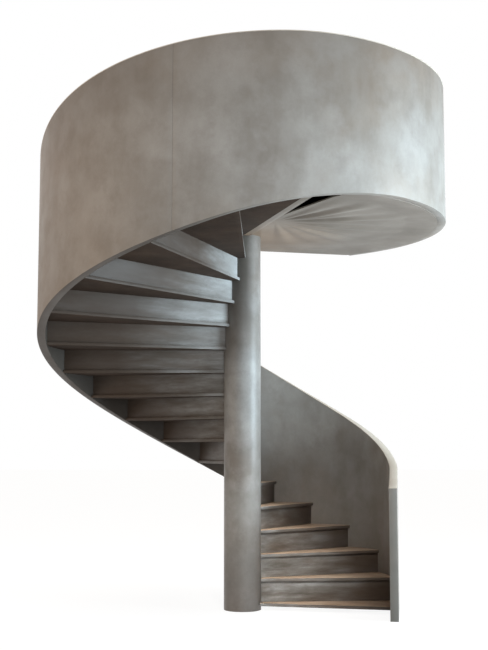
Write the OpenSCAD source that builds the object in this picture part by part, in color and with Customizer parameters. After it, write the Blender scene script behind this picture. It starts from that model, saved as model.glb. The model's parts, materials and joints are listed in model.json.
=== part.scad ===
// Spiral staircase: winder steps round an off-centre post inside a drum-shaped wall.
// Millimetres, +Z up, origin on the floor at the centre of the post.
// The flight climbs counter-clockwise seen from above.

/* [Flight] */
// Height of one riser
rise = 190; // [160:1:215]
// Top of the bottom step above the floor
first_h = 60; // [50:1:120]
// Plan angle of one step
step_deg = 17.6; // [16.8:0.1:18]
// Plan direction of the bottom nosing
first_deg = -13; // [-18:0.5:-8]

/* [Steps] */
// Thickness of a tread plate
tread_t = 25; // [15:1:40]
// Thickness of a riser plate
riser_t = 16; // [8:1:25]
// Nosing in front of the riser
nosing = 28; // [10:1:45]
// Tread lip behind the riser above
lip = 28; // [10:1:45]

/* [Post] */
// Diameter of the post
post_d = 305; // [200:1:400]

/* [Drum wall] */
// Outer radius of the drum
drum_r = 1615; // [1450:5:1900]
// Distance of the drum centre in front of the post
drum_shift = 458; // [300:2:520]
// Thickness of the wall
wall_t = 65; // [40:1:90]
// Height of the level rim above the floor
rim_h = 4145; // [3900:5:4500]
// Angle over which the rim line levels out
rim_ease = 85; // [60:1:100]
// Plan direction where the rim is level
rim_deg = 293; // [280:1:310]
// Depth of the wall below the tread lips
cover = 2; // [1:1:60]
// Angle over which the lower edge levels out
under_ease = 43; // [25:1:60]

/* [Wall foot] */
// Height of the wall at its free end
foot_h = 1010; // [850:5:1100]
// Outer radius of the bend into the straight leg
bend_r = 870; // [700:5:1000]
// Direction in the drum where the bend starts
bend_deg = 55; // [45:1:60]
// Direction in the bend where the leg starts
leg_deg = -8.2; // [-12:0.1:0]
// Length of the straight leg
leg_l = 705; // [600:5:900]
// Angle over which the lower rim line steepens
foot_ease = 46; // [30:1:80]
// Thickness of the capping on the wall
cap_t = 6; // [4:1:20]

/* [Landing] */
// Distance of the upper floor's edge behind the post
floor_back = 503; // [350:1:650]
// Plan direction of the upper floor's edge
floor_deg = 14.6; // [5:0.1:20]
// Depth of the soffit below the last tread
soffit_drop = 30; // [25:1:60]
// Thickness of the soffit sheet
soffit_t = 10; // [6:1:20]
// Depth of the soffit pleats
pleat_h = 24; // [10:1:35]
// Flat rim of the soffit outside the pleats
pleat_edge = 70; // [40:1:150]
// Distance of the pleats' meeting point from the post's axis
pleat_from = 720; // [600:5:800]
// Share of the soffit's angle that the pleats take up
pleat_share = 0.96; // [0.8:0.02:0.98]
// Share of the way to the wall where a pleat is deepest
peak_share = 0.4; // [0.3:0.05:0.6]
// Distance of the slot's tip from the post's axis
slot_from = 800; // [600:5:1000]
// Open angle between the last lip and the soffit at the wall
slot_deg = 7; // [4:0.5:12]

/* [Hidden] */
$fn = 240;

// Counts that go with the node list
step_n = 17;
wall_n = 12;
cap_n = 5;
pleat_n = 10;
// Facets of one wall piece along its edge lines
cut_n = 8;
// Facets of one capping piece
cap_cut_n = 18;
// Overrun of the cutting shapes
over = 40;
// Overrun of the cutting shapes in degrees
over_deg = 2;
// Clearance between the treads and the straight leg
fit = 0.1;

steel = [0.55, 0.53, 0.50];
cream = [0.87, 0.83, 0.78];
taupe = [0.63, 0.59, 0.55];

post_r = post_d / 2;
drum_c = [0, -drum_shift];
well_r = drum_r - wall_t;
reach = 2 * drum_r;
deck_h = first_h + step_n * rise;
deck_deg = first_deg + step_n * step_deg;
// Direction of the landing's open side
deck_end = 450;
soffit_h = deck_h - rise - soffit_drop;
slope = rise / step_deg;

// Unit vectors and plan points
function dir(a) = [cos(a), sin(a)];
function side(a) = [-sin(a), cos(a)];
function step_a(k) = first_deg + (k - 1) * step_deg;
function step_z(k) = first_h + (k - 1) * rise;

// Direction in the drum where the wall meets the edge of the upper floor
wall_end = 360 + floor_deg + asin((floor_back - drum_c * side(floor_deg)) / well_r);

// Wall foot: a bend tangent to the drum, then a straight leg tangent to the bend
bend_c = drum_c + (drum_r - bend_r) * dir(bend_deg);
leg_top = bend_c + bend_r * dir(leg_deg);
leg_end = leg_top - leg_l * side(leg_deg);

// Direction of a plan point seen from the post, unwrapped near a given angle
function turn(p, a) = atan2(p[1], p[0]) + 360 * round((a - atan2(p[1], p[0])) / 360);
foot_deg = turn(leg_end, leg_deg);
leg_in = leg_top - wall_t * dir(leg_deg);

// Rim line of the wall: it starts level, climbs evenly and levels out again
rim_from = rim_deg - rim_ease;
foot_to = foot_deg + foot_ease;
rim_span = foot_ease / 2 + rim_from - foot_to + rim_ease / 2;
rim_slope = (rim_h - foot_h) / rim_span;
function rim_line(a) =
    a < foot_to ? foot_h + rim_slope * pow(a - foot_deg, 2) / (2 * foot_ease) :
    a < rim_from ? foot_h + rim_slope * (foot_ease / 2 + a - foot_to) :
    a < rim_deg ? rim_h - rim_slope * pow(rim_deg - a, 2) / (2 * rim_ease) :
    rim_h;

// Lower edge of the wall: on the floor, along the tread lips, then level with the soffit
function lip_line(a) = first_h + slope * (a - first_deg) - rise - tread_t - cover;
under_deg = first_deg + (soffit_h + slope * under_ease / 2 - lip_line(first_deg)) / slope;
under_from = under_deg - under_ease;
function under_line(a) =
    a < under_from ? max(0, lip_line(a)) :
    a < under_deg ? soffit_h - slope * pow(under_deg - a, 2) / (2 * under_ease) :
    soffit_h;

// Heights of a wall piece (part 0) or of its capping (part 1)
function low_z(a, part) = part == 0 ? under_line(a) : rim_line(a) - cap_t;
function high_z(a, part) = part == 0 ? rim_line(a) - cap_t : rim_line(a);

// Closed skin over n + 1 stations of four points each
function skin_faces(n) = concat(
    [[0, 1, 2, 3]],
    [for (i = [0:n - 1]) for (j = [0:3]) [4 * i + j, 4 * i + 4 + j, 4 * i + 4 + (j + 1) % 4]],
    [for (i = [0:n - 1]) for (j = [0:3]) [4 * i + j, 4 * i + 4 + (j + 1) % 4, 4 * i + (j + 1) % 4]],
    [[4 * n + 3, 4 * n + 2, 4 * n + 1, 4 * n]]);
function station(p_in, p_out, a, part) = [
    [p_in[0], p_in[1], low_z(a, part)],
    [p_in[0], p_in[1], high_z(a, part)],
    [p_out[0], p_out[1], high_z(a, part)],
    [p_out[0], p_out[1], low_z(a, part)]];
function arc_station(c, r, a, part) = station(
    c + (r - wall_t - over) * dir(a), c + (r + over) * dir(a), turn(c + r * dir(a), a), part);

// Round wall: a true ring sector between its two edge lines
module arc_wall(c, r, a0, a1, n, part) {
    step = (a1 - a0 + 2 * over_deg) / n;
    points = [for (i = [0:n]) each arc_station(c, r, a0 - over_deg + i * step, part)];
    intersection() {
        translate([c[0], c[1], 0])
            rotate([0, 0, a0])
                rotate_extrude(angle = a1 - a0)
                    translate([r - wall_t, 0])
                        square([wall_t, rim_h + over]);
        polyhedron(points, skin_faces(n));
    }
}

// Straight leg of the wall from the free end up to the bend
module leg_wall(part) {
    across = wall_t * dir(leg_deg);
    points = [for (i = [0:cut_n])
        let (p = leg_end + (leg_top - leg_end) * i / cut_n)
        each station(p - across, p, turn(p, leg_deg), part)];
    polyhedron(points, skin_faces(cut_n));
}

module drum_piece(i, n, cuts, part) {
    span = (wall_end - bend_deg) / n;
    arc_wall(drum_c, drum_r, bend_deg + (i - 1) * span, bend_deg + i * span, cuts, part);
}

// Plan of the space inside the wall, as far as a given direction
module leg_plan() {
    translate(leg_in - fit * dir(leg_deg))
        rotate(leg_deg)
            translate([-reach, -reach])
                square([reach, 2 * reach]);
}

module drum_plan() {
    translate(drum_c)
        circle(well_r);
}

module well_plan(a) {
    if (a > 2 * bend_deg)
        drum_plan();
    else
        difference() {
            intersection() {
                drum_plan();
                leg_plan();
            }
            difference() {
                polygon([bend_c, bend_c + reach * dir(leg_deg), bend_c + reach * dir(bend_deg)]);
                translate(bend_c)
                    circle(bend_r - wall_t);
            }
        }
}

// Plan between two directions, widened by a margin on either side
module fan_plan(a0, a1, front, back) {
    polygon(concat(
        [-front * side(a0), reach * dir(a0) - front * side(a0)],
        [for (i = [1:3]) 2 * reach * dir(a0 + (a1 - a0) * i / 4)],
        [reach * dir(a1) + back * side(a1), back * side(a1)]));
}

module step_plan(a0, a1, front, back) {
    difference() {
        intersection() {
            well_plan(a1);
            fan_plan(a0, a1, front, back);
        }
        circle(post_r);
    }
}

module riser_plan(a) {
    difference() {
        intersection() {
            well_plan(a + step_deg);
            rotate(a)
                translate([0, -riser_t / 2])
                    square([reach, riser_t]);
        }
        circle(post_r);
    }
}

module riser(k) {
    translate([0, 0, step_z(k - 1)])
        linear_extrude(rise - tread_t)
            riser_plan(step_a(k));
}

// Folded step: tread plate with its riser; the bottom step has no riser
module winder(k) {
    translate([0, 0, step_z(k) - tread_t])
        linear_extrude(tread_t)
            step_plan(step_a(k), step_a(k + 1), nosing, lip);
    if (k > 1)
        riser(k);
}

// Landing: it ends at the edge of the upper floor
module landing_plan(a, front) {
    intersection() {
        step_plan(a, deck_end, front, 0);
        rotate(floor_deg)
            translate([-reach, floor_back - 2 * reach])
                square(2 * reach);
    }
}

// Distance from a plan point to the wall or to the upper floor's edge
function wall_reach(p, a) =
    sqrt(pow(well_r, 2) - pow((p - drum_c) * side(a), 2)) - (p - drum_c) * dir(a);
function floor_reach(p, a) =
    (floor_back - p * side(floor_deg)) / max(sin(a - floor_deg), floor_back / reach);
function edge_reach(p, a) = min(wall_reach(p, a), floor_reach(p, a));

// Pleated soffit: a plate with an open slot along the last lip
plate_h = soffit_h + pleat_h;
fold_top = plate_h + soffit_t;
slot_tip = slot_from * dir(deck_deg);
slot_a = deck_deg + slot_deg;
slot_end = wall_reach([0, 0], slot_a) * dir(slot_a);

module soffit_plan() {
    difference() {
        landing_plan(deck_deg, -lip);
        polygon([slot_tip, 2 * slot_end - slot_tip, reach * dir(deck_deg)]);
    }
}

// Pleats: folds that fan out from a point beside the lip and die away before the edge
fold_c = pleat_from * dir(deck_deg) + 2 * lip * side(deck_deg);
fold_from = turn(slot_end - fold_c, slot_a);
fold_deg = (deck_end - fold_from) / pleat_n;
fold_mid = plate_h + soffit_t / 2;
function spot(a, share, edge, z) = concat(fold_c + (share * edge_reach(fold_c, a) - edge) * dir(a), z);

module pleat(i) {
    a = fold_from + (i - 1 / 2) * fold_deg;
    wide = fold_deg * pleat_share / 2;
    foot_a = spot(a - wide, 1, pleat_edge, fold_mid);
    foot_b = spot(a + wide, 1, pleat_edge, fold_mid);
    peak = spot(a, peak_share, 0, soffit_h);
    polyhedron([concat(fold_c, fold_mid), foot_a, foot_b, peak],
        [[0, 2, 1], [0, 1, 3], [1, 2, 3], [2, 0, 3]]);
}

module newel_post() {
    color(steel)
        cylinder(h = deck_h - tread_t, r = post_r);
}

module landing_deck() {
    color(steel)
        translate([0, 0, deck_h - tread_t])
            linear_extrude(tread_t) {
                landing_plan(deck_deg, nosing);
                circle(post_r);
            }
}

module landing_riser() {
    color(steel)
        riser(step_n + 1);
}

module landing_end() {
    color(steel)
        translate([0, 0, fold_top])
            linear_extrude(deck_h - tread_t - fold_top)
                intersection() {
                    landing_plan(slot_a, 0);
                    union() {
                        rotate(floor_deg)
                            translate([-reach, floor_back - riser_t])
                                square([2 * reach, riser_t]);
                        rotate(deck_end)
                            translate([0, -riser_t])
                                square([reach, riser_t]);
                    }
                }
}

module landing_soffit() {
    color(taupe) {
        translate([0, 0, plate_h])
            linear_extrude(soffit_t)
                soffit_plan();
        for (i = [1:pleat_n])
            pleat(i);
    }
}

module step_01() color(steel) winder(1);
module step_02() color(steel) winder(2);
module step_03() color(steel) winder(3);
module step_04() color(steel) winder(4);
module step_05() color(steel) winder(5);
module step_06() color(steel) winder(6);
module step_07() color(steel) winder(7);
module step_08() color(steel) winder(8);
module step_09() color(steel) winder(9);
module step_10() color(steel) winder(10);
module step_11() color(steel) winder(11);
module step_12() color(steel) winder(12);
module step_13() color(steel) winder(13);
module step_14() color(steel) winder(14);
module step_15() color(steel) winder(15);
module step_16() color(steel) winder(16);
module step_17() color(steel) winder(17);

module wall_foot() color(steel) leg_wall(0);
module wall_bend() color(steel) arc_wall(bend_c, bend_r, leg_deg, bend_deg, cut_n, 0);
module wall_01() color(steel) drum_piece(1, wall_n, cut_n, 0);
module wall_02() color(steel) drum_piece(2, wall_n, cut_n, 0);
module wall_03() color(steel) drum_piece(3, wall_n, cut_n, 0);
module wall_04() color(steel) drum_piece(4, wall_n, cut_n, 0);
module wall_05() color(steel) drum_piece(5, wall_n, cut_n, 0);
module wall_06() color(steel) drum_piece(6, wall_n, cut_n, 0);
module wall_07() color(steel) drum_piece(7, wall_n, cut_n, 0);
module wall_08() color(steel) drum_piece(8, wall_n, cut_n, 0);
module wall_09() color(steel) drum_piece(9, wall_n, cut_n, 0);
module wall_10() color(steel) drum_piece(10, wall_n, cut_n, 0);
module wall_11() color(steel) drum_piece(11, wall_n, cut_n, 0);
module wall_12() color(steel) drum_piece(12, wall_n, cut_n, 0);

module cap_foot() color(cream) leg_wall(1);
module cap_bend() color(cream) arc_wall(bend_c, bend_r, leg_deg, bend_deg, cut_n, 1);
module cap_01() color(cream) drum_piece(1, cap_n, cap_cut_n, 1);
module cap_02() color(cream) drum_piece(2, cap_n, cap_cut_n, 1);
module cap_03() color(cream) drum_piece(3, cap_n, cap_cut_n, 1);
module cap_04() color(cream) drum_piece(4, cap_n, cap_cut_n, 1);
module cap_05() color(cream) drum_piece(5, cap_n, cap_cut_n, 1);

newel_post();
step_01();
step_02();
step_03();
step_04();
step_05();
step_06();
step_07();
step_08();
step_09();
step_10();
step_11();
step_12();
step_13();
step_14();
step_15();
step_16();
step_17();
landing_deck();
landing_riser();
landing_end();
landing_soffit();
wall_foot();
wall_bend();
wall_01();
wall_02();
wall_03();
wall_04();
wall_05();
wall_06();
wall_07();
wall_08();
wall_09();
wall_10();
wall_11();
wall_12();
cap_foot();
cap_bend();
cap_01();
cap_02();
cap_03();
cap_04();
cap_05();
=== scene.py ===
"""A spiral staircase: winder steps round a post, in a drum wall that sweeps up to a landing."""
import json
import math

import bpy
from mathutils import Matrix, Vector

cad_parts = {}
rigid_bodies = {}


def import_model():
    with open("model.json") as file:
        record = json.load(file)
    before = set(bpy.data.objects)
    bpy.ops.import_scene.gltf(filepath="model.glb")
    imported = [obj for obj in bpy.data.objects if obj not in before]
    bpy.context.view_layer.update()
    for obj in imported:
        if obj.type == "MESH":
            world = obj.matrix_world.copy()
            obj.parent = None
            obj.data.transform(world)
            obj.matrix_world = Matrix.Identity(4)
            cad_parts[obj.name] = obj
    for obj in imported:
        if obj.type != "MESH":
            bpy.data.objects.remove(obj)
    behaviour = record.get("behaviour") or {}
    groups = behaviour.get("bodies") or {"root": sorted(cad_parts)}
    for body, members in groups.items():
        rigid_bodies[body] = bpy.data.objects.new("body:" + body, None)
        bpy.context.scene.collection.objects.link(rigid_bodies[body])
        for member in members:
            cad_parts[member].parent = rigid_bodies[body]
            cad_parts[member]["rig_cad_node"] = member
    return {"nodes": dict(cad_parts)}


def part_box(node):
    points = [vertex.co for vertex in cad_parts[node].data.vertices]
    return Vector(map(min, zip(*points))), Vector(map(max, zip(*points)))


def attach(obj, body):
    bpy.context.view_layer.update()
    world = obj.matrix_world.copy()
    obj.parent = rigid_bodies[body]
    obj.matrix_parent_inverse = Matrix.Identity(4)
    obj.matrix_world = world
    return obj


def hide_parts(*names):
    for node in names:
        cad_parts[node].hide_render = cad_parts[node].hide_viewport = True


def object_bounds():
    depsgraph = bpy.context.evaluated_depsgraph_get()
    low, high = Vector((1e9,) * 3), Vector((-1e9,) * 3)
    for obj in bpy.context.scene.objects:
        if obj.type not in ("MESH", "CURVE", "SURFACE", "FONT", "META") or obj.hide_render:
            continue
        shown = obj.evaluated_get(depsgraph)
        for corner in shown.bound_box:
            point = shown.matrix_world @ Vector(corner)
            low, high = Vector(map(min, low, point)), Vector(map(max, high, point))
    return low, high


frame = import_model()
cad_low, cad_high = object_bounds()

# Lengths are in metres. Angles are in degrees, counter-clockwise in plan from the right.

# Flight
RISE = 0.190
FIRST_H = 0.060  # top of the first tread
STEP_DEG = 17.6
FIRST_DEG = -13.0  # nosing of the first tread
STEP_COUNT = 17
TREAD_T = 0.025
LIP = 0.028  # tread lip behind the riser above
STRIP_W = 0.062  # pale strip along the last lip

# Drum wall
DRUM_R = -cad_low.x
DRUM_C = Vector((0.0, cad_low.y + DRUM_R))
WALL_T = 0.065
RIM_H = cad_high.z
RIM_EASE = 85.0  # turn over which the rim levels out
RIM_DEG = 293.0  # where it is level
COVER = 0.002  # depth of the wall below the tread lips
UNDER_EASE = 43.0  # turn over which the lower edge levels out
SEAM_DEG = 253.0
SEAM_LOW = 3.05  # the seam is plain between these heights
SEAM_HIGH = 3.75

# Foot of the wall: a straight leg, then a bend into the drum
FOOT_H = 1.010
BEND_R = 0.870
BEND_FROM = 55.0
BEND_TO = -8.2
LEG_L = 0.705
FOOT_EASE = 46.0  # turn over which the rim starts to climb
CAP_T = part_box("cap_05")[1].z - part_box("cap_05")[0].z

# Post and landing
POST_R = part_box("newel_post")[1].x
POST_C = Vector((0.0, 0.0))
DECK_END = 450.0
EDGE_BACK = 0.503  # from the post to the landing's straight edge
EDGE_DEG = 14.6  # turn of that edge
SOFFIT_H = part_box("landing_soffit")[0].z
SOFFIT_T = 0.010
SLOT_FROM = 0.800  # from the post to the tip of the open slot
SLOT_DEG = 7.0  # open angle of the slot
PLEAT_H = 0.024
PLEAT_EDGE = 0.070  # flat border round the folds
PLEAT_FROM = 0.720  # from the post to the point that the folds fan out from
PEAK_SHARE = 0.4  # how far along a fold is deepest
FOLD_SHARES = (0.5, 1.0, 0.35, 0.85, 0.3, 0.7, 0.4, 0.8, 0.35, 0.5)  # depth of each fold
DISH_H = 0.018  # dip along the soffit's outer edge
DISH_W = 0.30

# Fineness of the meshes
TURN_STEP = 1.5
LEG_CUTS = 12
POST_SIDES = 96
SOFFIT_CUTS = (300, 120)  # round the post, and out from it
SLOT_ROUNDS = 6  # rounds in which a soffit point settles behind the front edge
PLATE_EASE = 0.0025
WALL_EASE = 0.003
CAP_EASE = CAP_T / 5
SEAM_W = 4 * WALL_EASE
EASE_SEGMENTS = 2
SHARP_DEG = 40.0  # sharper edges are eased
SMOOTH_DEG = 30.0
FLAT_DEG = 0.5
MERGE_GAP = 1e-5
SECTION_MIDDLE = 0.5  # half the height of a wall's cross-section before it is cut
FACE_ON = 0.9  # share of a face's normal along a direction that it faces
LOOKS_UP = 0.5  # the same for a face that looks upwards


def plan(a):
    """Unit vector of a plan direction."""
    return Vector((math.cos(math.radians(a)), math.sin(math.radians(a))))


def side(a):
    """Unit vector to the left of a plan direction."""
    return Vector((-math.sin(math.radians(a)), math.cos(math.radians(a))))


def direction(p):
    """Plan direction of a vector."""
    return math.degrees(math.atan2(p.y, p.x))


BEND_C = DRUM_C + (DRUM_R - BEND_R) * plan(BEND_FROM)
LEG_TOP = BEND_C + BEND_R * plan(BEND_TO)
LEG_END = LEG_TOP - LEG_L * side(BEND_TO)
FOOT_DEG = direction(LEG_END)
WELL_R = DRUM_R - WALL_T
EDGE_OFF = EDGE_BACK - DRUM_C.dot(side(EDGE_DEG))  # from the drum's centre to the same edge
DRUM_END = 360 + EDGE_DEG + math.degrees(math.asin(EDGE_OFF / WELL_R))
SLOPE = RISE / STEP_DEG
DECK_DEG = FIRST_DEG + STEP_COUNT * STEP_DEG

RIM_FROM = RIM_DEG - RIM_EASE
FOOT_TO = FOOT_DEG + FOOT_EASE
RIM_SPAN = FOOT_EASE / 2 + RIM_FROM - FOOT_TO + RIM_EASE / 2
RIM_SLOPE = (RIM_H - FOOT_H) / RIM_SPAN
LIP_START = FIRST_H - RISE - TREAD_T - COVER
UNDER_DEG = FIRST_DEG + (SOFFIT_H + SLOPE * UNDER_EASE / 2 - LIP_START) / SLOPE


def rim_line(a):
    """Height of the rim: it starts level, climbs evenly and levels out again."""
    if a < FOOT_TO:
        return FOOT_H + RIM_SLOPE * (a - FOOT_DEG) ** 2 / (2 * FOOT_EASE)
    if a < RIM_FROM:
        return FOOT_H + RIM_SLOPE * (FOOT_EASE / 2 + a - FOOT_TO)
    if a < RIM_DEG:
        return RIM_H - RIM_SLOPE * (RIM_DEG - a) ** 2 / (2 * RIM_EASE)
    return RIM_H


def cap_bottom(a):
    """Height of the wall's top face, below the capping."""
    return rim_line(a) - CAP_T


def under_line(a):
    """Height of the lower edge: on the floor, along the tread lips, then level with the soffit."""
    if a < UNDER_DEG - UNDER_EASE:
        return max(0.0, LIP_START + SLOPE * (a - FIRST_DEG))
    if a < UNDER_DEG:
        return SOFFIT_H - SLOPE * (UNDER_DEG - a) ** 2 / (2 * UNDER_EASE)
    return SOFFIT_H


# Modelling


def clear_selection():
    if bpy.context.object and bpy.context.object.mode != "OBJECT":
        bpy.ops.object.mode_set(mode="OBJECT")
    bpy.ops.object.select_all(action="DESELECT")


def ease_edges(piece, width, worn_slot):
    """Rounds the sharp edges of a piece and gives them the finish in a slot of its own."""
    clear_selection()
    piece.select_set(True)
    bpy.context.view_layer.objects.active = piece
    bpy.ops.object.modifier_add(type="BEVEL")
    ease = piece.modifiers[-1]
    ease.width = width
    ease.segments = EASE_SEGMENTS
    ease.limit_method = "ANGLE"
    ease.angle_limit = math.radians(SHARP_DEG)
    ease.material = worn_slot
    bpy.ops.object.modifier_apply(modifier=ease.name)
    bpy.ops.object.shade_smooth_by_angle(angle=math.radians(SMOOTH_DEG))


def dress(piece, slot, materials, *nodes):
    """Gives a piece its finish and its place in the assembly."""
    piece.data.materials.clear()
    for m in materials:
        piece.data.materials.append(m)
    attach(piece, "root")
    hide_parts(*nodes)


def upright_section(name, outer, a):
    """A wall's cross-section, one metre high, left in edit mode with all of it selected."""
    clear_selection()
    middle = outer - WALL_T / 2 * plan(a)
    bpy.ops.mesh.primitive_plane_add(
        size=1, location=(middle.x, middle.y, SECTION_MIDDLE),
        rotation=(math.pi / 2, 0, math.radians(a)))
    wall = bpy.context.object
    wall.name = name
    wall.scale = (WALL_T, 1, 1)
    bpy.ops.object.transform_apply(location=True, rotation=True, scale=True)
    bpy.ops.object.mode_set(mode="EDIT")
    bpy.ops.mesh.select_all(action="SELECT")
    return wall


def sweep(centre, a0, a1):
    """Spins the selected section on round a centre, counter-clockwise."""
    bpy.ops.mesh.spin(
        steps=math.ceil((a1 - a0) / TURN_STEP), angle=math.radians(a1 - a0),
        center=(centre.x, centre.y, 0), axis=(0, 0, -1))


def outer_point(p, foot):
    """The point of the wall's outer face on the same cross-section as a plan point."""
    if foot:
        from_leg = p - LEG_TOP
        across = from_leg.dot(plan(BEND_TO))
        if from_leg.dot(side(BEND_TO)) < MERGE_GAP and -2 * WALL_T < across < WALL_T:
            return p - across * plan(BEND_TO)
        spoke = p - BEND_C
        if BEND_TO <= direction(spoke) < BEND_FROM and spoke.length < BEND_R + WALL_T:
            return BEND_C + BEND_R * plan(direction(spoke))
    return DRUM_C + DRUM_R * plan(direction(p - DRUM_C))


def cut_to_lines(wall, foot, low, high):
    """Sets the lower and upper edges of a swept wall on their lines."""
    bpy.ops.mesh.select_all(action="SELECT")
    bpy.ops.mesh.normals_make_consistent(inside=False)
    bpy.ops.object.mode_set(mode="OBJECT")
    lowest = (FOOT_DEG if foot else SEAM_DEG) - STEP_DEG
    for v in wall.data.vertices:
        a = direction(outer_point(v.co.xy, foot))
        while a < lowest:
            a += 360
        v.co.z = high(a) if v.co.z > SECTION_MIDDLE else low(a)


def foot_strip(name, low, high):
    """The wall from its free end through the leg and the bend as far as the seam of the drum."""
    strip = upright_section(name, LEG_END, BEND_TO)
    move = (LEG_TOP - LEG_END) / LEG_CUTS
    for _ in range(LEG_CUTS):
        bpy.ops.mesh.extrude_region_move(TRANSFORM_OT_translate={"value": (move.x, move.y, 0)})
    sweep(BEND_C, BEND_TO, BEND_FROM)
    sweep(DRUM_C, BEND_FROM, SEAM_DEG)
    cut_to_lines(strip, True, low, high)
    return strip


def drum_strip(name, low, high):
    """The wall from the seam round the landing to its upper end."""
    strip = upright_section(name, DRUM_C + DRUM_R * plan(SEAM_DEG), SEAM_DEG)
    sweep(DRUM_C, SEAM_DEG, DRUM_END)
    cut_to_lines(strip, False, low, high)
    return strip


def eased_copy(node, name):
    """A copy of a solid, merged and with its edges eased."""
    clear_selection()
    solid = frame["nodes"][node]
    solid.select_set(True)
    bpy.context.view_layer.objects.active = solid
    bpy.ops.object.duplicate()
    piece = bpy.context.object
    piece.name = name
    del piece["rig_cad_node"]
    bpy.ops.mesh.customdata_custom_splitnormals_clear()
    bpy.ops.object.mode_set(mode="EDIT")
    bpy.ops.mesh.select_all(action="SELECT")
    bpy.ops.mesh.remove_doubles(threshold=MERGE_GAP)
    bpy.ops.mesh.dissolve_limited(angle_limit=math.radians(FLAT_DEG))
    bpy.ops.object.mode_set(mode="OBJECT")
    ease_edges(piece, PLATE_EASE, worn_slot=1)
    return piece


def finish_faces(piece, finish, chosen):
    """Gives the chosen faces of a piece one more finish."""
    piece.data.materials.append(finish)
    for face in piece.data.polygons:
        if chosen(face):
            face.material_index = len(piece.data.materials) - 1


def pale_strip(piece, finish):
    """Gives the underside of the last tread a pale strip along its lip."""
    front = LIP - STRIP_W
    inward = side(DECK_DEG)
    bpy.ops.object.mode_set(mode="EDIT")
    bpy.ops.mesh.select_all(action="SELECT")
    bpy.ops.mesh.bisect(
        plane_co=(front * inward.x, front * inward.y, 0), plane_no=(inward.x, inward.y, 0))
    bpy.ops.object.mode_set(mode="OBJECT")
    finish_faces(piece, finish, lambda face: (
        face.center.xy.dot(inward) > front and face.normal.z < LOOKS_UP))


def shaded_end_face(piece, finish):
    """Gives the free end of the wall a darker copy of its patina, as painted shade."""
    along = side(BEND_TO)
    finish_faces(piece, finish, lambda face: (
        face.normal.xy.dot(along) < -FACE_ON
        and abs((face.center.xy - LEG_END).dot(along)) < WALL_EASE))


def quiet_seam(piece):
    """Keeps the seam of the drum plain but for its worn ends."""
    for face in piece.data.polygons:
        at_seam = abs((face.center.xy - DRUM_C).dot(side(SEAM_DEG))) < SEAM_W
        if at_seam and face.material_index == 1 and SEAM_LOW < face.center.z < SEAM_HIGH:
            face.material_index = 0


def post_tube():
    """The round post, its foot and head eased."""
    clear_selection()
    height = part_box("newel_post")[1].z
    bpy.ops.mesh.primitive_cylinder_add(
        vertices=POST_SIDES, radius=POST_R, depth=height, location=(0, 0, height / 2))
    post = bpy.context.object
    post.name = "post_tube"
    bpy.ops.object.transform_apply(location=True, rotation=True, scale=True)
    ease_edges(post, WALL_EASE, worn_slot=1)
    return post


def edge_reach(p, a):
    """Distance from a plan point to the wall's inner face or to the landing's straight edge."""
    out = p - DRUM_C
    to_wall = math.sqrt(WELL_R ** 2 - out.dot(side(a)) ** 2) - out.dot(plan(a))
    towards = plan(a).dot(side(EDGE_DEG))
    if towards <= 0:
        return to_wall
    return min(to_wall, (EDGE_BACK - p.dot(side(EDGE_DEG))) / towards)


SLOT_A = DECK_DEG + SLOT_DEG
SLOT_END = edge_reach(POST_C, SLOT_A) * plan(SLOT_A)
SLOT_SLOPE = SLOT_END.dot(side(DECK_DEG)) / (SLOT_END.dot(plan(DECK_DEG)) - SLOT_FROM)
FOLD_C = PLEAT_FROM * plan(DECK_DEG) + 2 * LIP * side(DECK_DEG)
FOLD_FROM = direction(SLOT_END - FOLD_C) + 360
FOLD_DEG = (DECK_END - FOLD_FROM) / len(FOLD_SHARES)


def front_direction(r):
    """Direction of the soffit's front edge: along the last lip, then along the open slot."""
    along = math.sqrt(r ** 2 - LIP ** 2)
    ahead = max(LIP, SLOT_SLOPE * (along - SLOT_FROM))
    return DECK_DEG + math.degrees(math.atan2(ahead, math.sqrt(r ** 2 - ahead ** 2)))


def smooth(share):
    """A soft step from nought to one."""
    share = min(1.0, max(0.0, share))
    return share ** 2 * (3 - 2 * share)


def pleat_depth(p):
    """Depth of the soffit's folds: they fan out from one point and die away before the edge."""
    spoke = p - FOLD_C
    a = direction(spoke)
    while a < FOLD_FROM - 180:
        a += 360
    if not FOLD_FROM < a < DECK_END or spoke.length < MERGE_GAP:
        return 0.0
    share = spoke.length / (edge_reach(FOLD_C, a) - PLEAT_EDGE)
    grow = min(share / PEAK_SHARE, (1 - share) / (1 - PEAK_SHARE))
    fold = int((a - FOLD_FROM) / FOLD_DEG)
    across = 1 - abs(2 * ((a - FOLD_FROM) / FOLD_DEG - fold) - 1)
    return PLEAT_H * FOLD_SHARES[fold] * smooth(across) * smooth(grow)


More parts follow.
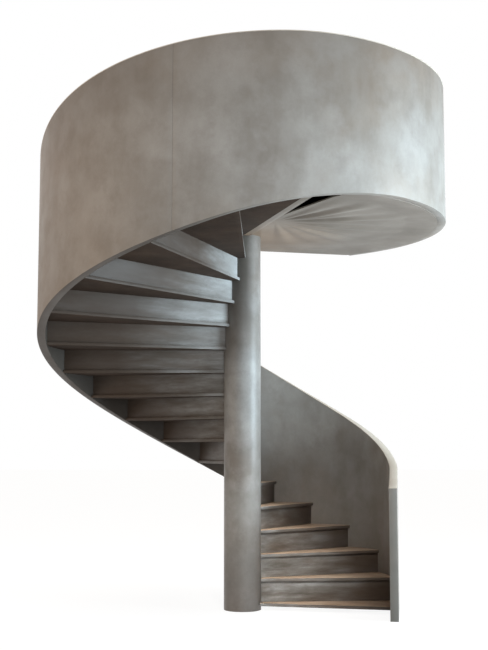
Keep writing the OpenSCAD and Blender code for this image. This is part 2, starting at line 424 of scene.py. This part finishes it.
def pleated_soffit():
    """The landing's underside: a thin plate with a fan of folds, dished along its outer edge."""
    clear_selection()
    bpy.ops.mesh.primitive_grid_add(
        x_subdivisions=SOFFIT_CUTS[0], y_subdivisions=SOFFIT_CUTS[1], size=1)
    soffit = bpy.context.object
    soffit.name = "pleated_soffit"
    for v in soffit.data.vertices:
        share_round, share_out = v.co.x + 0.5, v.co.y + 0.5
        start = SLOT_A
        for _ in range(SLOT_ROUNDS):
            a = start + share_round * (DECK_END - start)
            r = POST_R + share_out * (edge_reach(POST_C, a) - POST_R)
            start = front_direction(r)
        p = r * plan(a)
        dish = DISH_H * smooth(1 - (edge_reach(POST_C, a) - r) / DISH_W)
        v.co = (p.x, p.y, SOFFIT_H + PLEAT_H - max(pleat_depth(p), dish))
    bpy.ops.object.mode_set(mode="EDIT")
    bpy.ops.mesh.select_all(action="SELECT")
    bpy.ops.mesh.flip_normals()
    bpy.ops.object.mode_set(mode="OBJECT")
    bpy.ops.object.modifier_add(type="SOLIDIFY")
    thick = soffit.modifiers[-1]
    thick.thickness = SOFFIT_T
    thick.offset = -1
    bpy.ops.object.modifier_apply(modifier=thick.name)
    bpy.ops.object.shade_smooth_by_angle(angle=math.radians(SMOOTH_DEG))
    return soffit


# Finishes


def srgb(r, g, b):
    """A colour given as it looks, on a scale to 255, in linear light."""
    def linear(c):
        c = c / 255
        return c / 12.92 if c <= 0.04045 else ((c + 0.055) / 1.055) ** 2.4
    return (linear(r), linear(g), linear(b), 1.0)


def grey(level):
    """A grey in linear light."""
    return (level, level, level, 1.0)


# Tones run from dark to light
WALL_TONES = (srgb(126, 120, 113), srgb(149, 146, 141), srgb(170, 168, 165))
WALL_BROWN = srgb(149, 132, 115)
LEFT_BROWN_SHADE = srgb(130, 109, 90)
RIM_SHADE = srgb(104, 94, 84)
FLIGHT_SHADE = srgb(52, 47, 42)
EDGE_SHADE = srgb(78, 67, 58)
WALL_FOOT_SHADE = srgb(58, 46, 36)
# Darker tones for the wall's free end face: painted shade.
END_SHADE_TONES = (srgb(107, 106, 102), srgb(118, 118, 114), srgb(128, 128, 125))
END_SHADE_BROWN = srgb(115, 109, 101)
POST_TONES = (srgb(106, 102, 97), srgb(138, 137, 134), srgb(172, 172, 171))
POST_BROWN = srgb(124, 107, 93)
POST_SIDE_SHADE = srgb(66, 62, 56)
POST_FOOT_SHADE = srgb(84, 71, 61)
RISER_TONES = (srgb(112, 110, 105), srgb(152, 153, 151), srgb(190, 194, 195))
RISER_BROWN = srgb(114, 94, 78)
RISER_PAINTED_LIGHT = srgb(204, 208, 210)
RISER_SHADE_BY_WALL = srgb(60, 47, 37)
RISER_MIDDLE_SHADE = srgb(66, 53, 43)
TREAD_TONES_PAINTED_LIGHT = (srgb(190, 163, 138), srgb(208, 181, 156), srgb(222, 198, 174))
TREAD_SHADE_BY_WALL = srgb(96, 76, 60)
BELOW_SHADE_TONES = (srgb(46, 34, 25), srgb(57, 43, 33), srgb(70, 55, 44))
STEP_SCUFF = srgb(80, 71, 62)
STEP_GRAIN = srgb(84, 79, 74)
CAP_TONES = (srgb(200, 190, 176), srgb(213, 205, 193))
CAP_SPECK = srgb(186, 174, 160)
SOFFIT_TONES = (srgb(120, 113, 104), srgb(133, 125, 116), srgb(146, 138, 129))
SOFFIT_TAN = srgb(166, 138, 112)
SOFFIT_GRAIN = srgb(112, 102, 92)
WALL_RUBBED = (srgb(140, 137, 132), srgb(176, 174, 170))
STEP_RUBBED = (srgb(140, 131, 121), srgb(204, 198, 189))
CAP_RUBBED = (srgb(197, 187, 174), srgb(216, 209, 199))

# Where on a cloud's scale from nought to one the tones lie
PATINA_PLACES = (0.34, 0.5, 0.66)
RISER_PLACES = (0.36, 0.52, 0.66)
CLOUD_PLACES = (0.34, 0.52, 0.68)
CAP_PLACES = (0.34, 0.66)
RUB_PLACES = (0.36, 0.6)


class Finish:
    """A material and short ways to add its nodes."""

    def __init__(self, name, roughness):
        self.material = bpy.data.materials.new(name)
        self.material.use_nodes = True
        self.tree = self.material.node_tree
        self.shader = self.tree.nodes["Principled BSDF"]
        self.shader.inputs["Roughness"].default_value = roughness
        self.place = self.tree.nodes.new("ShaderNodeTexCoord").outputs["Object"]

    def link(self, a, b):
        self.tree.links.new(a, b)

    def noise(self, scale, detail, rough, stretch=(1, 1, 1)):
        mapping = self.tree.nodes.new("ShaderNodeMapping")
        mapping.inputs["Scale"].default_value = stretch
        self.link(self.place, mapping.inputs["Vector"])
        cloud = self.tree.nodes.new("ShaderNodeTexNoise")
        cloud.inputs["Scale"].default_value = scale
        cloud.inputs["Detail"].default_value = detail
        cloud.inputs["Roughness"].default_value = rough
        self.link(mapping.outputs["Vector"], cloud.inputs["Vector"])
        return cloud.outputs["Fac"]

    def ramp(self, value, places, colours):
        """Runs through colours as a value grows."""
        ramp = self.tree.nodes.new("ShaderNodeValToRGB")
        elements = ramp.color_ramp.elements
        while len(elements) < len(places):
            elements.new(0.5)
        for element, place, colour in zip(elements, places, colours):
            element.position = place
            element.color = colour
        self.link(value, ramp.inputs["Fac"])
        return ramp.outputs["Color"]

    def mix(self, factor, a, b):
        mix = self.tree.nodes.new("ShaderNodeMix")
        mix.data_type = "RGBA"
        for socket, value in ((mix.inputs[0], factor), (mix.inputs[6], a), (mix.inputs[7], b)):
            if hasattr(value, "is_output"):
                self.link(value, socket)
            else:
                socket.default_value = value
        return mix.outputs[2]

    def range(self, value, low, high, to_low=0.0, to_high=1.0):
        """Stretches a value from one range to another and stops at its ends."""
        node = self.tree.nodes.new("ShaderNodeMapRange")
        for i, number in enumerate((low, high, to_low, to_high)):
            node.inputs[i + 1].default_value = number
        self.link(value, node.inputs[0])
        return node.outputs[0]

    def veil(self, base, colour, value, start, full, most):
        """Lays a colour over a base: none where a value is at its start, most where it is full."""
        return self.mix(self.range(value, start, full, 0.0, most), base, colour)

    def times(self, a, b):
        product = self.tree.nodes.new("ShaderNodeMath")
        product.operation = "MULTIPLY"
        self.link(a, product.inputs[0])
        self.link(b, product.inputs[1])
        return product.outputs[0]

    def along(self, axis):
        """Place along an axis."""
        split = self.tree.nodes.new("ShaderNodeSeparateXYZ")
        self.link(self.place, split.inputs[0])
        return split.outputs[axis]

    def facing(self, way):
        """One on faces that look up, or down where way is minus one."""
        geometry = self.tree.nodes.new("ShaderNodeNewGeometry")
        split = self.tree.nodes.new("ShaderNodeSeparateXYZ")
        self.link(geometry.outputs["Normal"], split.inputs[0])
        return self.range(split.outputs["Z"], 0.4 * way, 0.9 * way)

    def inward(self):
        """One on upright faces that look towards the post, nought on those that look away."""
        geometry = self.tree.nodes.new("ShaderNodeNewGeometry")
        product = self.tree.nodes.new("ShaderNodeVectorMath")
        product.operation = "DOT_PRODUCT"
        self.link(geometry.outputs["Normal"], product.inputs[0])
        self.link(self.place, product.inputs[1])
        return self.range(product.outputs["Value"], 0.0, -0.2)

    def from_post(self):
        """Distance from the post's axis."""
        level = self.tree.nodes.new("ShaderNodeVectorMath")
        level.operation = "MULTIPLY"
        level.inputs[1].default_value = (1, 1, 0)
        self.link(self.place, level.inputs[0])
        length = self.tree.nodes.new("ShaderNodeVectorMath")
        length.operation = "LENGTH"
        self.link(level.outputs[0], length.inputs[0])
        return length.outputs["Value"]

    def bump(self, value, strength, distance):
        bump = self.tree.nodes.new("ShaderNodeBump")
        bump.inputs["Strength"].default_value = strength
        bump.inputs["Distance"].default_value = distance
        self.link(value, bump.inputs["Height"])
        self.link(bump.outputs["Normal"], self.shader.inputs["Normal"])

    def colour(self, value):
        self.link(value, self.shader.inputs["Base Color"])

    def rough(self, value):
        self.link(value, self.shader.inputs["Roughness"])


def patina(name, tones, brown, roughness):
    """Hand-finished steel: cloudy grey with brown veils, fine scratches and a soft satin sheen."""
    dark, _, light = tones
    finish = Finish(name, roughness)
    clouds = finish.noise(scale=1.5, detail=6, rough=0.6, stretch=(1, 1, 0.8))
    veils = finish.noise(scale=0.8, detail=4, rough=0.5)
    blots = finish.noise(scale=5.0, detail=6, rough=0.62)
    wipes = finish.noise(scale=3.4, detail=6, rough=0.6)
    streaks = finish.noise(scale=5.0, detail=4, rough=0.6, stretch=(1, 1, 0.12))
    grain = finish.noise(scale=90, detail=3, rough=0.7)
    base = finish.ramp(clouds, PATINA_PLACES, tones)
    base = finish.veil(base, brown, veils, start=0.44, full=0.66, most=0.6)
    base = finish.veil(base, dark, blots, start=0.46, full=0.7, most=0.5)
    base = finish.veil(base, light, wipes, start=0.5, full=0.7, most=0.45)
    base = finish.veil(base, light, streaks, start=0.45, full=0.7, most=0.2)
    finish.base = finish.veil(base, dark, grain, start=0.35, full=0.7, most=0.12)
    finish.colour(finish.base)
    finish.rough(finish.range(blots, 0.3, 0.7, roughness - 0.06, roughness + 0.08))
    finish.bump(finish.mix(0.35, clouds, grain), strength=0.12, distance=0.004)
    return finish


def wall_finish():
    """Drum wall patina, with painted shade: browner to the left and at the rim, dark under its
    lower edge, and dark inside beside the flight and near the floor.
    """
    finish = patina("wall_patina", WALL_TONES, WALL_BROWN, roughness=0.50)
    inner, across, height = finish.inward(), finish.along("X"), finish.along("Z")
    # Painted shade: the drum turns browner and darker towards its left side.
    base = finish.veil(finish.base, LEFT_BROWN_SHADE, across, start=0.0, full=-1.5, most=0.35)
    # Painted shade: the wall darker towards its rim.
    base = finish.veil(base, RIM_SHADE, height, start=3.55, full=4.1, most=0.35)
    # Painted shade: the inner face to the left, under the landing, darker where the flight shades
    # it.
    flight = finish.times(
        finish.range(across, 0.3, -0.5), finish.range(height, 3.3, 3.0, 0.0, 0.92))
    base = finish.mix(finish.times(inner, flight), base, FLIGHT_SHADE)
    # Painted shade: faces under the wall's lower edge darker.
    edge = finish.times(finish.facing(-1), finish.range(height, 3.05, 2.5, 0.0, 0.6))
    base = finish.mix(edge, base, EDGE_SHADE)
    # Painted shade: the inner face darker towards the floor, beside the steps.
    foot = finish.range(height, 1.5, 0.2, 0.0, 0.65)
    finish.colour(finish.mix(finish.times(inner, foot), base, WALL_FOOT_SHADE))
    return finish.material


def post_finish():
    """Post: painted shade on its left side beside the upper treads, and browner painted shade at
    its foot.
    """
    finish = patina("post_patina_painted_shade", POST_TONES, POST_BROWN, roughness=0.44)
    across, height = finish.along("X"), finish.along("Z")
    # Painted shade: the post's left side darker beside the upper treads.
    beside = finish.times(
        finish.range(height, 1.8, 2.7, 0.0, 0.75), finish.range(across, 0.10, 0.03))
    base = finish.mix(beside, finish.base, POST_SIDE_SHADE)
    # Painted shade: the post browner and darker towards the floor.
    finish.colour(finish.veil(base, POST_FOOT_SHADE, height, start=0.8, full=0.0, most=0.42))
    return finish.material


def step_finish():
    """Folded plates: tan to walk on, brightened there as painted light; grey upright, with a
    painted pool of light near the post and painted shade at middle heights; dark below and darker
    by the wall, both painted shade.
    """
    finish = Finish("step_plate", roughness=0.5)
    finish.shader.inputs["Specular IOR Level"].default_value = 0.25
    clouds = finish.noise(scale=2.6, detail=6, rough=0.6)
    wipes = finish.noise(scale=2.2, detail=6, rough=0.62, stretch=(1, 1, 6))
    smears = finish.noise(scale=1.7, detail=5, rough=0.6, stretch=(1, 1, 3))
    scuffs = finish.noise(scale=9, detail=5, rough=0.65, stretch=(1, 1, 2))
    grain = finish.noise(scale=110, detail=3, rough=0.7)
    outward, height = finish.from_post(), finish.along("Z")

    riser = finish.ramp(wipes, RISER_PLACES, RISER_TONES)
    riser = finish.veil(riser, RISER_BROWN, smears, start=0.46, full=0.66, most=0.5)
    # Painted light: a pale pool on the upper risers near the post.
    upper = finish.times(
        finish.range(height, 1.9, 2.7, 0.0, 0.62), finish.range(outward, 0.9, 0.2))
    riser = finish.mix(upper, riser, RISER_PAINTED_LIGHT)
    # Painted shade: risers darker towards the wall.
    riser = finish.veil(riser, RISER_SHADE_BY_WALL, outward, start=0.15, full=1.05, most=0.92)
    # Painted shade: risers at middle heights of the flight darker.
    middle = finish.ramp(finish.range(height, 0.0, 3.2), (0.12, 0.3, 0.72, 0.9),
                         (grey(0.0), grey(0.45), grey(0.34), grey(0.0)))
    riser = finish.mix(middle, riser, RISER_MIDDLE_SHADE)
    # Tan treads, brightened on their tops as painted light.
    tread = finish.ramp(clouds, CLOUD_PLACES, TREAD_TONES_PAINTED_LIGHT)
    # Painted shade: treads darker towards the wall.
    tread = finish.veil(tread, TREAD_SHADE_BY_WALL, outward, start=0.3, full=1.1, most=0.68)
    # Painted shade: the steps' undersides dark brown.
    below = finish.ramp(clouds, CLOUD_PLACES, BELOW_SHADE_TONES)

    underside = finish.facing(-1)
    base = finish.mix(finish.facing(1), riser, tread)
    base = finish.mix(underside, base, below)
    base = finish.veil(base, STEP_SCUFF, scuffs, start=0.5, full=0.75, most=0.3)
    finish.colour(finish.veil(base, STEP_GRAIN, grain, start=0.35, full=0.7, most=0.14))
    sheen = finish.range(clouds, 0.3, 0.7, 0.56, 0.44)
    finish.rough(finish.mix(underside, sheen, grey(0.9)))
    finish.bump(finish.mix(0.4, clouds, grain), strength=0.12, distance=0.003)
    return finish.material


def worn_finish(name, tones):
    """Edges rubbed bright."""
    finish = Finish(name, roughness=0.42)
    rub = finish.noise(scale=14, detail=5, rough=0.65)
    finish.colour(finish.ramp(rub, RUB_PLACES, tones))
    finish.bump(rub, strength=0.1, distance=0.002)
    return finish.material


def cap_finish():
    """Cream capping, slightly marked by hands."""
    finish = Finish("cap_cream", roughness=0.55)
    clouds = finish.noise(scale=2.2, detail=5, rough=0.6)
    specks = finish.noise(scale=70, detail=3, rough=0.7)
    base = finish.ramp(clouds, CAP_PLACES, CAP_TONES)
    finish.colour(finish.veil(base, CAP_SPECK, specks, start=0.62, full=0.75, most=0.3))
    finish.bump(specks, strength=0.08, distance=0.001)
    return finish.material


def soffit_finish():
    """Taupe plate, tanned towards the post."""
    finish = Finish("soffit_taupe", roughness=0.5)
    clouds = finish.noise(scale=1.6, detail=6, rough=0.6)
    grain = finish.noise(scale=80, detail=3, rough=0.7)
    base = finish.ramp(clouds, CLOUD_PLACES, SOFFIT_TONES)
    base = finish.veil(base, SOFFIT_TAN, finish.from_post(), start=0.9, full=0.2, most=0.75)
    finish.colour(finish.veil(base, SOFFIT_GRAIN, grain, start=0.35, full=0.7, most=0.14))
    finish.rough(finish.range(clouds, 0.3, 0.7, 0.55, 0.42))
    finish.bump(finish.mix(0.5, clouds, grain), strength=0.12, distance=0.003)
    return finish.material


wall_steel = wall_finish()
post_steel = post_finish()
step_steel = step_finish()
cap_cream = cap_finish()
soffit_taupe = soffit_finish()
wall_worn = worn_finish("wall_worn", WALL_RUBBED)
step_worn = worn_finish("step_worn", STEP_RUBBED)
cap_worn = worn_finish("cap_worn", CAP_RUBBED)
# Painted shade: a darker patina for the wall's free end face.
end_shade_steel = patina("end_patina_painted_shade", END_SHADE_TONES, END_SHADE_BROWN, roughness=0.55).material

# Pieces

lower_wall = foot_strip("drum_wall_lower", under_line, cap_bottom)
ease_edges(lower_wall, WALL_EASE, worn_slot=1)
quiet_seam(lower_wall)
dress(lower_wall, "wall_steel", [wall_steel, wall_worn], "wall_foot", "wall_bend",
      *["wall_%02d" % i for i in range(1, 7)])
shaded_end_face(lower_wall, end_shade_steel)
upper_wall = drum_strip("drum_wall_upper", under_line, cap_bottom)
ease_edges(upper_wall, WALL_EASE, worn_slot=1)
quiet_seam(upper_wall)
dress(upper_wall, "wall_steel", [wall_steel, wall_worn],
      *["wall_%02d" % i for i in range(7, 13)])

lower_cap = foot_strip("capping_lower", cap_bottom, rim_line)
ease_edges(lower_cap, CAP_EASE, worn_slot=1)
dress(lower_cap, "cap_cream", [cap_cream, cap_worn], "cap_foot", "cap_bend", "cap_01", "cap_02")
upper_cap = drum_strip("capping_upper", cap_bottom, rim_line)
ease_edges(upper_cap, CAP_EASE, worn_slot=1)
dress(upper_cap, "cap_cream", [cap_cream, cap_worn], "cap_03", "cap_04", "cap_05")

dress(post_tube(), "post_steel", [post_steel, wall_worn], "newel_post")
for k in range(1, STEP_COUNT + 1):
    node = "step_%02d" % k
    winder = eased_copy(node, "winder_%02d" % k)
    dress(winder, "step_steel", [step_steel, step_worn], node)
    if k == STEP_COUNT:
        pale_strip(winder, soffit_taupe)
for node in ("landing_deck", "landing_riser", "landing_end"):
    dress(eased_copy(node, node + "_plate"), "step_steel", [step_steel, step_worn], node)
dress(pleated_soffit(), "soffit_taupe", [soffit_taupe], "landing_soffit")

# Floor, light and camera

STAGE_W = 120
STAGE_GREY = 0.6
STAGE_GLOW = 1.3  # strength of the white that is seen
STAGE_SHARE = 0.7  # share of it; the rest takes the shadow
SKY_STRENGTH = 0.46
SKY_COLOUR = (1.0, 0.92, 0.83, 1)
COOL = (0.74, 0.90, 1.0)
PALE_COOL = (0.86, 0.94, 1.0)
WARM = (1.0, 0.70, 0.46)
PALE_WARM = (1.0, 0.97, 0.93)
ALL_ROUND = 180
BEAM = 28
LAMPS = (  # name, place, aim, width, watts, colour and spread
    ("window_light", (5.0, -1.7, 1.9), (0.3, -0.5, 3.0), 2.6, 370, COOL, ALL_ROUND),
    ("front_fill", (2.0, -6.5, 3.0), (0.3, -1.0, 3.3), 3.0, 92, PALE_COOL, ALL_ROUND),
    ("warm_fill", (-6.0, -3.0, 2.5), (-0.3, -0.5, 2.2), 4.0, 66, WARM, ALL_ROUND),
    ("step_light", (0.35, -2.6, 2.7), (0.5, 0.2, 0.45), 0.5, 3.6, PALE_WARM, BEAM),
    ("top_light", (0.0, -0.8, 9.5), (0.0, -0.5, 4.0), 5.0, 150, PALE_WARM, ALL_ROUND),
)
IMAGE_W = 488
IMAGE_H = 650
FOCAL_PX = 1128.9
AXIS_PX = 242.46  # column of the post's axis
SENSOR_MM = 36
CAMERA_AT = (0, -9.427, 1.313)
CAMERA_TILT = 6.216


def seen_rays(tree):
    """One for what is seen, straight on or in a gloss, and nought for what only lights."""
    path = tree.nodes.new("ShaderNodeLightPath")
    seen = path.outputs["Is Camera Ray"]
    for kind in ("Is Glossy Ray", "Is Transmission Ray"):
        either = tree.nodes.new("ShaderNodeMath")
        either.operation = "MAXIMUM"
        tree.links.new(seen, either.inputs[0])
        tree.links.new(path.outputs[kind], either.inputs[1])
        seen = either.outputs[0]
    return seen


def pale_floor():
    """A white floor that runs into the background and keeps a faint shadow."""
    clear_selection()
    bpy.ops.mesh.primitive_plane_add(size=STAGE_W)
    floor = bpy.context.object
    floor.name = "floor"
    finish = bpy.data.materials.new("floor_white")
    finish.use_nodes = True
    tree = finish.node_tree
    diffuse = tree.nodes["Principled BSDF"]
    diffuse.inputs["Base Color"].default_value = grey(STAGE_GREY)
    diffuse.inputs["Roughness"].default_value = 0.9
    diffuse.inputs["Specular IOR Level"].default_value = 0.0
    white = tree.nodes.new("ShaderNodeEmission")
    white.inputs["Strength"].default_value = STAGE_GLOW
    mix = tree.nodes.new("ShaderNodeMixShader")
    share = tree.nodes.new("ShaderNodeMath")
    share.operation = "MULTIPLY"
    share.inputs[1].default_value = STAGE_SHARE
    tree.links.new(seen_rays(tree), share.inputs[0])
    tree.links.new(share.outputs[0], mix.inputs[0])
    tree.links.new(diffuse.outputs[0], mix.inputs[1])
    tree.links.new(white.outputs[0], mix.inputs[2])
    tree.links.new(mix.outputs[0], tree.nodes["Material Output"].inputs["Surface"])
    floor.data.materials.append(finish)


def studio_sky():
    """Even light from all round, in front of a white background."""
    world = bpy.data.worlds.new("studio")
    bpy.context.scene.world = world
    world.use_nodes = True
    tree = world.node_tree
    ambient = tree.nodes["Background"]
    ambient.inputs["Color"].default_value = SKY_COLOUR
    ambient.inputs["Strength"].default_value = SKY_STRENGTH
    white = tree.nodes.new("ShaderNodeBackground")
    white.inputs["Color"].default_value = grey(1.0)
    mix = tree.nodes.new("ShaderNodeMixShader")
    tree.links.new(seen_rays(tree), mix.inputs[0])
    tree.links.new(ambient.outputs[0], mix.inputs[1])
    tree.links.new(white.outputs[0], mix.inputs[2])
    tree.links.new(mix.outputs[0], tree.nodes["World Output"].inputs["Surface"])


def soft_lamp(name, place, aim, width, watts, colour, spread):
    """A square lamp that points at its aim."""
    lamp = bpy.data.lights.new(name, "AREA")
    lamp.size = width
    lamp.spread = math.radians(spread)
    lamp.energy = watts
    lamp.color = colour
    holder = bpy.data.objects.new(name, lamp)
    holder.location = place
    towards = Vector(aim) - Vector(place)
    holder.rotation_euler = towards.to_track_quat("-Z", "Y").to_euler()
    bpy.context.scene.collection.objects.link(holder)


def front_camera():
    """A camera at the height, distance and tilt that fit the lines of the stair."""
    camera = bpy.data.cameras.new("camera")
    camera.sensor_width = SENSOR_MM
    camera.lens = FOCAL_PX * SENSOR_MM / IMAGE_H
    camera.shift_x = (IMAGE_W / 2 - AXIS_PX) / IMAGE_H
    stand = bpy.data.objects.new("camera", camera)
    stand.location = CAMERA_AT
    stand.rotation_euler = (math.radians(90 + CAMERA_TILT), 0, 0)
    bpy.context.scene.collection.objects.link(stand)
    bpy.context.scene.camera = stand


pale_floor()
studio_sky()
for lamp_setting in LAMPS:
    soft_lamp(*lamp_setting)
front_camera()
bpy.context.scene.view_settings.view_transform = "Standard"
